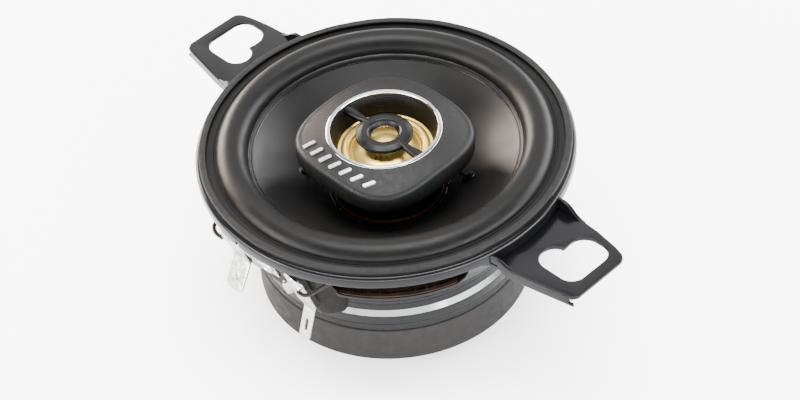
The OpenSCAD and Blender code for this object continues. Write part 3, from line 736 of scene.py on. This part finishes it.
edge_glue = merge("edge_glue", [
    bead("edge_glue_a", 32.72, lambda r: 42.0 + 0.6 * (r - 32.72), 0.13, "glue", 11.0),
    bead("edge_glue_b", 31.9, lambda r: cone_height(r) + 0.15, 0.13, "glue", 23.0)], 70)
put(edge_glue, body=CONE, slot="dark_cone")
neck_glue = merge("neck_glue", [
    bead("neck_glue_a", 14.15, lambda r: cone_height(r) + 0.12, 0.5, "blackglue", 5.0, 0.55, 300, 0.6),
    bead("neck_glue_b", 13.75, lambda r: 29.3, 0.2, "glue", 31.0, 0.6, 300, 0.9)], 70)
put(neck_glue, body=CONE, slot="dark_cone")


def make_spider():
    rs = [14.0 + (31.6 - 14.0) * i / 150 for i in range(151)]
    wave = [(r, 26.25 + 0.55 * math.sin(2 * math.pi * (r - 13.6) / 3.2)) for r in rs]
    top = [(13.62, 27.2), (13.8, 26.7)] + wave + [(32.2, 26.25), (32.8, 26.25), (35.0, 26.25)]
    under = [(35.0, 25.92), (32.6, 25.92)] + [(r, z - 0.33) for r, z in reversed(wave)] + [(13.62, 25.5)]
    return lathe("spider", top + under, "cloth", 240)


spider = make_spider()
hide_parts("spider")
radial_blend(spider)
spider_glue = bead("spider_glue", 33.9, lambda r: 26.35, 0.75, "blackglue", 41.0, 0.25, 360, 0.35)
put(spider_glue, slot="black_steel")

low, high = box_mm("voice_coil_former")
put(lathe("voice_coil_former", fillet([(COIL_IN, low[2], 0.05), (COIL_OUT, low[2], 0.05), (COIL_OUT, high[2], 0.08),
                                       (COIL_IN, high[2], 0.08)], 2), "former"),
    "voice_coil_former", body=CONE, slot="amber_former")


def make_winding():
    z0, z1 = box_mm("voice_coil_winding")[0][2], box_mm("voice_coil_winding")[1][2]
    n = 25
    outer = []
    for i in range(n):
        c = z0 + (z1 - z0) * (i + 0.5) / n
        w = (z1 - z0) / n / 2
        outer += [(14.2 - w * (1 - math.cos(b)), c + w * math.sin(b)) for b in (-1.2, -0.6, 0, 0.6, 1.2)]
    return lathe("voice_coil_winding", [(COIL_OUT, z0)] + outer + [(COIL_OUT, z1)], "copper", 120)


put(make_winding(), "voice_coil_winding", body=CONE, slot="copper_wire")

# ---- motor


def make_magnet():
    profile = fillet([(17, MAGNET_LOW, 0.3), (MAGNET_R, MAGNET_LOW, 0.5), (MAGNET_R, MAGNET_TOP, 0.5),
                      (17, MAGNET_TOP, 0.3)], 5)

    def warp(a, r, z):
        if r < 30:
            return r, z
        near_edge = z < MAGNET_LOW + 0.6 or z > MAGNET_TOP - 0.6
        chip = max(0.0, ring_noise(a, 34, 2.0, 2) - 0.55) if near_edge else 0
        return r - 0.35 * chip + 0.03 * ring_noise(a, 3, 4.0), z

    return lathe("magnet", profile, "ferrite", 480, warp)


put(make_magnet(), "magnet", slot="ferrite")
put(lathe("top_plate", fillet([(14.6, MAGNET_TOP, 0.1), (PLATE_R, MAGNET_TOP, 0.35), (PLATE_R, SEAT_Z, 0.45),
                               (14.6, SEAT_Z, 0.2)], 5), "plate", 300), "top_plate", slot="dark_steel")


def make_yoke():
    plate_part = fillet([(3.05, 0, 0.25), (22.4, 0), (23.0, 0.12), (23.6, 0), (30.8, 0, 0.7), (30.8, 3.0, 0.3),
                         (13.0, 3.0, 0.6), (13.0, 15.6, 0.6), (3.05, 15.6, 0.3)], 5)
    return lathe("t_yoke", plate_part, "plate", 240)


put(make_yoke(), "t_yoke", slot="dark_steel")
motor_glue = merge("motor_glue", [
    bead("motor_glue_a", 33.25, lambda r: 12.92, 0.16, "blackglue", 51.0, 0.8, 360, 0.6),
    bead("motor_glue_b", 30.9, lambda r: 2.95, 0.2, "blackglue", 57.0, 0.6, 360, 0.5)], 70)
put(motor_glue, slot="ferrite")


def make_plate_rivets():
    out = []
    for k in range(4):
        head = disc_lathe("rivet", [(0, 16.75), (0.9, 16.7), (1.7, 16.5), (2.3, 16.2), (2.5, FLOOR_TOP),
                                    (1.6, FLOOR_TOP), (1.6, 13.2), (0, 13.2)], "plated", 40, 40)
        head.data.transform(scaled(Matrix.Translation((*polar(26, 45 + 90 * k), 0))))
        out.append(head)
    return merge("plate_rivets", out)


put(make_plate_rivets(), "plate_rivets", slot="plated_steel")

# ---- terminals


def circle(cx, cy, r, n=28):
    return [polar(r, 360 * k / n, cx, cy) for k in range(n)]


FACE = ON_BOARD @ UPRIGHT                       # a plate's thickness grows out of the board's face
EYELETS = [(11.9, 10.9), (1.5, 8.6)]
BOARD_RIVETS = [(-5, 2.8), (5.6, 2.8)]


def make_board():
    outline = fillet([(-14.5, 0, 0.5), (14.5, 0, 0.5), (14.5, 13, 0.9), (-14.5, 13, 0.9)], 5)
    holes = [circle(*p, 1.33) for p in EYELETS] + [circle(*p, 1.05) for p in BOARD_RIVETS]
    return plate("terminal_board", [outline] + holes, 1.2, 0.1, FACE @ Matrix.Translation((0, 0, -1.2)), "board")


put(make_board(), "terminal_board", slot="fibre_board")


def on_face(profile, p, material, name, steps=40):
    """A small turned piece whose axis stands out of the board's face at p."""
    ob = disc_lathe(name, profile, material, steps, 40)
    ob.data.transform(scaled(FACE @ Matrix.Translation((*p, 0))))
    return ob


put(merge("board_rivets", [on_face([(0, 0.62), (0.7, 0.6), (1.35, 0.4), (1.7, 0.0), (1.0, 0.0), (1.0, -2.1),
                                    (1.5, -2.15), (1.2, -2.5), (0, -2.6)], p, "plated", "br") for p in BOARD_RIVETS]),
    "board_rivets", slot="plated_steel")
eyelets = [on_face([(0, -0.6), (0.7, -0.6), (0.75, 0.9), (1.0, 1.22), (1.45, 1.25), (1.9, 1.05), (2.1, 0.7),
                    (2.05, 0.5), (1.3, 0.5), (1.3, -1.15), (0, -1.2)], p, "tin", "eye") for p in EYELETS]


def blob(name, centre, size, seed, material):
    """A lump of solder: an uneven ball, flattened on the board."""
    bm = bmesh.new()
    bmesh.ops.create_icosphere(bm, subdivisions=4, radius=1)
    for v in bm.verts:
        n = v.co.normalized()
        k = 1 + 0.22 * noise.noise(n * 1.6 + Vector((seed, 0, 0)))
        k += 0.08 * noise.noise(n * 4 + Vector((0, seed, 0)))
        v.co = Vector((n.x * size[0], n.y * size[1], n.z * size[2])) * k
    bm.transform(Matrix.Scale(MM, 4) @ FACE @ Matrix.Translation(centre))
    return add_mesh(name, bm, 80, MAT[material])


def make_tab(x, width, bend, reach, drop, holes, face_loops, name):
    """The part on the board is one flat plate, the blade another, and a short curved strip joins them."""
    t, radius, shy = 0.5, 0.55, 0.999                   # shy keeps the strip's end off the blade's
    parts = [plate(name + "_face", face_loops, t, 0.1, FACE, "tin")]
    angle, length = math.atan2(reach, drop), math.hypot(reach, drop)
    rows = []
    for i in range(9):                                  # the bend: an arc about a centre outside the face
        b = angle * i / 8
        rows.append([FACE @ Vector((x + s * width / 2, bend - r * math.sin(b) * shy, radius + t - r * math.cos(b)))
                     for r, s in ((radius + t, 1), (radius, 1), (radius, -1), (radius + t, -1))])
    parts.append(grid(name + "_bend", rows, "tin", closed=True))
    end = Vector((x, bend - (radius + t) * math.sin(angle), (radius + t) - (radius + t) * math.cos(angle)))
    blade = fillet([(-width / 2, 0), (width / 2, 0), (width / 2, -length + 1.1, 0.4),
                    (width / 2 - 0.75, -length, 0.3), (-width / 2 + 0.75, -length, 0.3),
                    (-width / 2, -length + 1.1, 0.4)], 3)
    at = FACE @ Matrix.Translation(end) @ Matrix.Rotation(-angle, 4, "X")
    # the sheet keeps its inner side on the bend's outer arc
    parts.append(plate(name + "_blade", [blade] + holes, t, 0.1, at, "tin"))
    return parts


positive = make_tab(-11.3, 5.6, 0.4, 6.0, 5.8, [circle(0, -4.2, 0.78)],
                    [fillet([(-14.1, 0.4), (-8.5, 0.4), (-8.5, 5.6, 0.6), (4.6, 5.6, 0.8), (4.6, 11.6, 1.4),
                             (-13.2, 11.6, 0.9), (-14.1, 10.4, 0.5)], 4), circle(1.5, 8.6, 1.2)], "positive_terminal")
put(merge("positive_terminal", positive), "positive_terminal", slot="tinned_brass")
slot_loop = fillet([(-0.5, -2.9, 0.5), (-0.5, -6.1, 0.5), (0.5, -6.1, 0.5), (0.5, -2.9, 0.5)], 5)
negative = make_tab(11.3, 3.4, -1.4, 5.2, 6.9, [slot_loop],
                    [fillet([(9.6, -1.4), (13.0, -1.4), (13.0, -0.9), (14.3, 0.4, 0.5), (14.3, 11.2, 0.8),
                             (13.2, 12.4, 0.7), (9.2, 12.4, 0.7), (8.3, 11.2, 0.6), (8.3, 0.4, 0.5), (9.6, -0.9)], 4),
                     circle(11.9, 10.9, 1.2)], "negative_terminal")
negative.append(plate("negative_fold", [fillet([(0, 0), (4.6, 0), (4.6, 1.9, 0.7), (0, 1.9, 0.7)], 4)], 0.5, 0.1,
                      FACE @ Matrix.Translation((8.35, 3.4, 0.1)) @ Matrix.Rotation(math.radians(90), 4, "Z")
                      @ Matrix.Rotation(math.radians(62), 4, "X"), "tin"))
put(merge("negative_terminal", negative), "negative_terminal", slot="tinned_brass")
put(merge("terminal_eyelets", eyelets + [blob("solder_a", (12.6, 10.4, 0.9), (1.7, 1.4, 0.75), 3.0, "solder"),
                                         blob("solder_b", (-12.2, 9.6, 0.7), (1.5, 1.2, 0.7), 8.0, "solder")]),
    "terminal_eyelets", slot="tinned_brass")

# ---- leads

TINSEL = [(13, -41.9, 33.2), (15.2, -42, 33.6), (16.6, -41.2, 34.2), (17.3, -39.3, 34.6), (17.4, -36.9, 34.3),
          (17.1, -34, 33.2), (16.7, -31, 31.7), (16.4, -27.5, 30.3), (16.1, -24, 29.5), (15.9, -20.5, 29.4),
          (15.7, -17, 30.2), (15.6, -14.6, 31.2), (15.6, -13.4, 32)]


def strands(name, points, radius, strand_r, count, pitch, material, per=14):
    """A braid: strands that wind round a path, one turn per pitch."""
    path = smooth_path(points, per)
    along = [0.0]
    for a, b in zip(path, path[1:]):
        along.append(along[-1] + (b - a).length)
    return [tube(f"{name}_{k}", path, strand_r, material, 7,
                 lambda i, k=k: polar(radius, 360 * (along[i] / pitch + k / count))) for k in range(count)]


def glue_on_cone(name, x, y, z, size, seed, slope_at):
    """A blob of glue that lies on the cone's slope."""
    patch = blob(name, (0, 0, 0), size, seed, "blackglue")
    slope = math.atan2(cone_height(slope_at + 1) - cone_height(slope_at), 1)
    turn = Matrix.Rotation(math.atan2(y, x), 4, "Z") @ Matrix.Rotation(-slope, 4, "Y")
    patch.data.transform(scaled(Matrix.Translation((x, y, z)) @ turn @ FACE.inverted()))
    put(patch, body=CONE, slot="black_rubber")


for side, word in ((-1, "positive"), (1, "negative")):
    pts = [(side * p[0], p[1], p[2]) for p in TINSEL]
    lead = merge("tinsel_lead_" + word, strands("tl", pts, 0.27, 0.26, 4, 2.6, "braid"))
    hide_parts("tinsel_lead_" + word)
    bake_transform(lead)
    z = cone_height(20.4) - 0.35
    glue_on_cone("glue_patch_" + word, side * 15.6, -13.2, z, (1.9, 1.5, 0.55), 4.0 + side, 20)

TWEETER_LEAD = [(11.75, 33), (12.6, 33.9), (14, 34.5), (15.6, 34.5), (17.2, 33.7), (18.8, 32.6)]
for side, word in ((-1, "positive"), (1, "negative")):
    c, s = polar(side, 38)
    lead = tube("tweeter_lead_" + word, smooth_path([(r * c, r * s, z) for r, z in TWEETER_LEAD]), 0.3, "sleeve")
    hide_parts("tweeter_lead_" + word)
    start, end = ((r * c * MM, r * s * MM, 0.033) for r in (11.9, 18.2))
    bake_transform(lead)
    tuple(start)
    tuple(end)
    z = cone_height(19.4) + 0.12
    glue_on_cone("lead_glue_" + word, 19.4 * c, 19.4 * s, z, (1.9, 1.6, 0.55), 14.0 + side, 19)

# ---- tweeter

COVER_R, TRIM_R, CROWN_R = 19.0, 13.95, 56.0
CROWN_Z = 47.2 - math.sqrt(CROWN_R ** 2 - TRIM_R ** 2)


def crown(r):
    return CROWN_Z + math.sqrt(CROWN_R ** 2 - r * r)


def square_r(a, p=3.1):
    """The radius of the cover's rounded square outline."""
    c, s = polar(1, a)
    return COVER_R / (abs(c) ** p + abs(s) ** p) ** (1 / p)


def make_cover():
    rows = []
    steps, edge = 288, 1.5
    for i in range(steps + 1):
        a = 360 * i / steps
        big = square_r(a)
        row = [(TRIM_R - 0.02, crown(TRIM_R) - 0.6), (TRIM_R, crown(TRIM_R) - 0.08), (TRIM_R + 0.1, crown(TRIM_R))]
        row += [(TRIM_R + 0.1 + (big - edge - TRIM_R - 0.1) * k / 10, None) for k in range(1, 11)]
        row = [(r, crown(r) if z is None else z) for r, z in row]
        top = row[-1][1]
        for b in range(10, 91, 10):
            turn = math.radians(b)
            row.append((big - edge + edge * math.sin(turn), top - edge * (1 - math.cos(turn)) * 1.05))
        row += [(big - 0.05, 42.6), (big - 0.18, 40.4), (big - 0.3, 39.95), (big - 0.55, 39.8), (big - 1.4, 39.8),
                (big - 1.65, 40.0), (big - 1.7, 42.8), (14.2, 43.6), (13.3, 42.6), (13.0, 39.9), (11.85, 39.8),
                (11.75, 41.0)]
        rows.append([(*polar(r, a), z) for r, z in row])
    shell = grid("cover_shell", rows, "plastic", smooth=50)
    # the horn: a flare with fine turned steps
    n, top, foot = 11, (12.75, 46.95), (11.45, 41.35)
    horn = []
    for i in range(n):
        (r0, z0), (r1, z1) = [[a + (b - a) * t / n for a, b in zip(top, foot)] for t in (i, i + 1)]
        step = z0 - z1
        horn += [(r0, z0), (r0 - 0.01, z0 - 0.3 * step), (r1 + 0.1, z0 - 0.55 * step), (r1 + 0.02, z1 + 0.04)]
    horn += [(11.4, 41.25), (11.9, 41.1), (14.2, 43.0), (13.9, 46.6)]
    return merge("tweeter_cover", [shell, lathe("horn", horn, "smooth", 240, smooth=25)], 50)


put(make_cover(), "tweeter_cover", slot="black_plastic")
put(lathe("trim_ring", fillet([(12.75, 46.7, 0.1), (13.95, 46.7, 0.1), (13.95, 47.25, 0.3), (13.5, 47.5, 0.3),
                               (12.95, 47.46, 0.25), (12.75, 47.1, 0.2)], 5), "chrome", 300), "trim_ring",
    slot="bright_chrome")


def make_ornament():
    """Seven slanted raised dashes in a row that follows the crown."""
    out = []
    for k in range(7):
        x = (k - 3) * 3.4
        loop = fillet([(-1.25, -1.35, 0.3), (-0.25, -1.35, 0.3), (1.25, 1.35, 0.3), (0.25, 1.35, 0.3)], 4)
        bar = plate("dash", [loop], 0.75, 0.17, Matrix.Translation((x, -16.2 + 0.012 * x * x, 0)), "silver", res=3)
        for v in bar.data.vertices:
            r = math.hypot(v.co.x, v.co.y) / MM
            v.co.z += (crown(r) - 0.3) * MM
        out.append(bar)
    return merge("cover_ornament", out)


put(make_ornament(), "cover_ornament", slot="silver_paint")


def make_plug():
    ring = lathe("plug_ring", fillet([(3.0, 45.0, 0.2), (6.1, 44.9, 0.3), (6.95, 45.3, 0.35), (6.8, 45.9, 0.5),
                                      (5.4, 46.5, 0.8), (4.2, 46.62, 0.5), (3.75, 46.3, 0.4)], 5), "smooth", 160)
    parts = [ring]
    for s in (-1, 1):
        rows = []
        for i in range(13):
            t = i / 12
            r, w = 4.0 + 8.75 * t, 0.5 + 0.95 * t ** 1.1
            top, base = 46.75 - 0.1 * math.sin(math.pi * t), 45.25 - 0.25 * t
            right = [(w * 0.18, top - 0.04), (w * 0.62, base + 0.84 * (top - base)),
                     (w * 0.98, base + 0.55 * (top - base)), (w, base)]
            rows.append([(s * r, y, z) for y, z in [(-y, z) for y, z in reversed(right)] + right])
        parts.append(grid("plug_arm", rows, "smooth", closed=True, smooth=30))
    return merge("phase_plug", parts, 32)


put(make_plug(), "phase_plug", slot="black_plastic")


def make_dome():
    base, rise, z = 8.55, 2.5, 41.0
    big = (base ** 2 + rise ** 2) / 2 / rise            # the radius of the sphere
    full = math.asin(base / big)
    cap = [(big * math.sin(full * i / 24), z + rise - big + big * math.cos(full * i / 24)) for i in range(25)]
    inner = [(max(0, r - 0.12 * (r / base)), h - 0.22) for r, h in reversed(cap)]
    return disc_lathe("tweeter_dome", cap + [(8.6, z - 0.05)] + inner, "gold", 144, 60)


put(make_dome(), "tweeter_dome", body=DOME, slot="gold_film")


def make_edge():
    """The film beyond the dome: a half roll, then two flat steps up to the clamp."""
    def roll(r, z, wide, high, *angles):
        return [(polar(wide, b, r)[0], polar(high, b, r, z)[1]) for b in range(*angles)]

    top = [(8.68, 41.1)] + roll(9.75, 41.2, 1.02, 0.78, 180, -1, -12)
    top += [(10.85, 41.22), (11.0, 41.3), (11.45, 41.32), (11.5, 41.22)]
    under = [(11.5, 41.0), (10.95, 41.0)] + roll(9.75, 41.02, 0.82, 0.72, 0, 181, 15)
    return lathe("tweeter_edge", top + under + [(8.68, 41.0)], "gold", 180, smooth=50)


edge = make_edge()
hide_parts("tweeter_edge")
radial_blend(edge)
put(lathe("diaphragm_ring", fillet([(9.9, 40.0, 0.1), (10.7, 40.0, 0.1), (10.7, 41.0, 0.15), (9.9, 41.0, 0.15)], 3),
          "smooth", 120), "diaphragm_ring", slot="black_plastic")
put(lathe("tweeter_voice_coil", [(8.05, 38.3), (8.5, 38.3), (8.5, 39.6), (8.15, 39.65), (8.15, 41.0), (8.05, 41.0)],
          "copper", 120), "tweeter_voice_coil", body=DOME, slot="copper_wire")
put(disc_lathe("tweeter_cup", [(0, 34.6), (10.2, 34.6), (10.55, 34.75), (10.6, 35.1), (10.6, 39.8), (10.4, 40.0),
                               (9.1, 40.0), (9.0, 39.8), (9.0, 35.8), (0, 35.8)], "plated", 96),
    "tweeter_cup", slot="plated_steel")
put(disc_lathe("tweeter_magnet", [(0, 35.8), (7.0, 35.8), (7.2, 36.0), (7.2, 38.4), (7.0, 38.6), (0, 38.6)],
               "nickel", 72), "tweeter_magnet", slot="neodymium")
put(disc_lathe("tweeter_pole_plate", [(0, 38.6), (7.5, 38.6), (7.6, 38.7), (7.6, 39.85), (7.45, 40.0), (0, 40.0)],
               "plated", 72), "tweeter_pole_plate", slot="plated_steel")
put(lathe("tweeter_base", fillet([(2.15, 30.5, 0.1), (10.9, 30.5, 0.8), (11.7, 31.4, 0.5), (11.7, 36.2, 0.1),
                                  (11.55, 36.3, 0.1), (11.55, 36.9, 0.1), (11.7, 37.0, 0.1), (11.7, 41.0, 0.2),
                                  (10.8, 41.0, 0.15), (10.8, 34.6), (9.6, 34.6, 0.15), (9.6, 33.8, 0.1), (10.8, 32.6),
                                  (10.8, 31.9, 0.4), (2.15, 31.9, 0.1)], 4), "plastic", 160), "tweeter_base",
    slot="black_plastic")
put(lathe("tweeter_post", fillet([(0.02, 0.8), (2.8, 0.8, 0.2), (3.0, 1.0), (3.0, 15.6), (4.0, 15.6, 0.2),
                                  (4.2, 15.8, 0.1), (4.2, 29.2, 0.3), (3.9, 30.5, 0.3), (2.03, 30.5, 0.15),
                                  (2.03, 22), (0.02, 22)], 3), "plated", 72), "tweeter_post", slot="plated_steel")
put(disc_lathe("screw_body", [(0, 24), (1.6, 24), (2.0, 24.4), (2.0, 31.9), (3.4, 31.9), (3.6, 32.1), (3.45, 32.8),
                              (2.9, 33.35), (2.0, 33.55), (1.2, 33.58), (0.9, 33.2), (0, 32.6)], "plated", 48),
    "tweeter_screw", slot="plated_steel")
low, high = box_mm("crossover_capacitor")
corners = [(low[0], low[1], 0.5), (high[0], low[1], 0.5), (high[0], high[1], 0.5), (low[0], high[1], 0.5)]
put(plate("crossover_capacitor", [fillet(corners, 4)], high[2] - low[2], 0.3, Matrix.Translation((0, 0, low[2])),
          "yellow"), "crossover_capacitor", slot="yellow_film")

# ---- studio


def make_stage():
    me = bpy.data.meshes.new("floor")
    s = 3.0
    me.from_pydata([(-s, -s, 0), (s, -s, 0), (s, s, 0), (-s, s, 0)], [], [(0, 1, 2, 3)])
    mat = bpy.data.materials.new("floor_paper")
    mat.use_nodes = True
    bsdf = mat.node_tree.nodes["Principled BSDF"]
    bsdf.inputs["Base Color"].default_value = (0.93, 0.93, 0.935, 1)
    bsdf.inputs["Roughness"].default_value = 0.9
    bsdf.inputs["Specular IOR Level"].default_value = 0.1
    me.materials.append(mat)
    add_object("floor", me)


def toward(azimuth, elevation, distance):
    """A place seen from the part's middle: azimuth 0 is the front (-Y), and it grows towards +X."""
    a, e = math.radians(azimuth), math.radians(elevation)
    return Vector((math.sin(a) * math.cos(e), -math.cos(a) * math.cos(e), math.sin(e))) * distance


def area_light(name, place, size, size_y, power, colour):
    """A rectangular lamp that faces the part."""
    at = toward(*place)
    data = bpy.data.lights.new(name, "AREA")
    data.shape = "RECTANGLE"
    data.size, data.size_y = size, size_y
    data.energy, data.color = power, colour
    ob = add_object(name, data)
    ob.location = at
    ob.rotation_euler = (Vector((0, 0, 0.03)) - at).to_track_quat("-Z", "Y").to_euler()


def make_lights():
    world = bpy.data.worlds.new("studio")
    world.use_nodes = True
    world.node_tree.nodes["Background"].inputs[0].default_value = (0.93, 0.96, 1, 1)
    world.node_tree.nodes["Background"].inputs[1].default_value = 1.0
    bpy.context.scene.world = world
    area_light("back_left", (-89, 15, 0.8), 0.5, 0.3, 30, (1, 0.86, 0.74))
    area_light("back_right", (187, 15, 0.8), 0.4, 0.3, 7, (0.98, 0.99, 1))
    area_light("left", (-30, 22, 0.8), 0.5, 0.3, 18, (1, 0.97, 0.94))
    area_light("right", (158, 20, 0.8), 0.5, 0.3, 16, (0.97, 0.985, 1))
    area_light("front", (49, 12, 0.72), 0.9, 0.22, 20, (0.97, 0.99, 1))
    area_light("front_left", (-4, 12, 0.72), 0.5, 0.22, 12, (0.97, 0.99, 1))
    area_light("front_right", (103, 12, 0.72), 0.8, 0.22, 26, (0.97, 0.99, 1))
    area_light("back", (229, 42, 1.3), 1.6, 0.8, 18, (1, 1, 1))
    area_light("top", (229, 86, 1.2), 0.9, 0.7, 66, (1, 0.99, 0.98))


def make_camera():
    at = Vector((0.3177, -0.2747, 0.4296))
    forward = (Vector((0, 0, 0.028)) - at).normalized()
    right = forward.cross(Vector((0, 0, 1))).normalized()
    up = right.cross(forward)
    roll = math.radians(-5.373)
    r = right * math.cos(roll) + up * math.sin(roll)
    u = -right * math.sin(roll) + up * math.cos(roll)
    data = bpy.data.cameras.new("camera")
    data.lens, data.sensor_width, data.sensor_fit = 107.96, 36, "HORIZONTAL"
    data.shift_x, data.shift_y = 0.0133, -0.0168
    data.clip_start, data.clip_end = 0.01, 20
    cam = add_object("camera", data)
    cam.matrix_world = Matrix.Translation(at) @ Matrix((r, u, -forward)).transposed().to_4x4()
    bpy.context.scene.camera = cam


make_stage()
make_lights()
make_camera()

bpy.context.view_layer.update()
